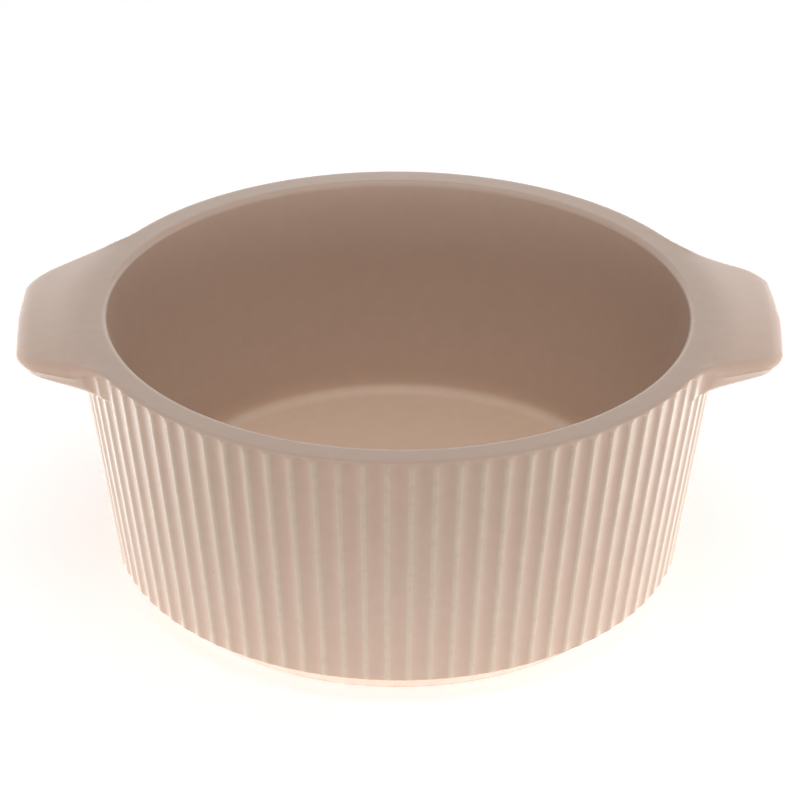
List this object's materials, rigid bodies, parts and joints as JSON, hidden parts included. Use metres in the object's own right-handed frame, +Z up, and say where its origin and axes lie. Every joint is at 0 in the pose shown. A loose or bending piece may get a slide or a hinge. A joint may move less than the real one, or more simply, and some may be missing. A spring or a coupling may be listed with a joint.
{
  "type": "sauce dish",
  "caption": "Small round stoneware sauce dish with a fluted, slightly tapered wall, a flat lug handle on each side of the rim and a low foot ring.",
  "frame": {"origin": "on the table under the middle of the foot ring", "axes": "+X along the two lug handles towards the right one, +Z up out of the bowl"},
  "size_m": [0.1298, 0.1088, 0.0488],
  "materials": {
    "satin_glaze": "satin",
    "foot_glaze": "satin"
  },
  "bodies": {
    "root": {"foot_ring": "foot_glaze", "base_pan": "satin_glaze", "fluted_wall": "satin_glaze", "rim_band": "satin_glaze", "left_lug_handle": "satin_glaze", "right_lug_handle": "satin_glaze"}
  },
  "joints": []
}
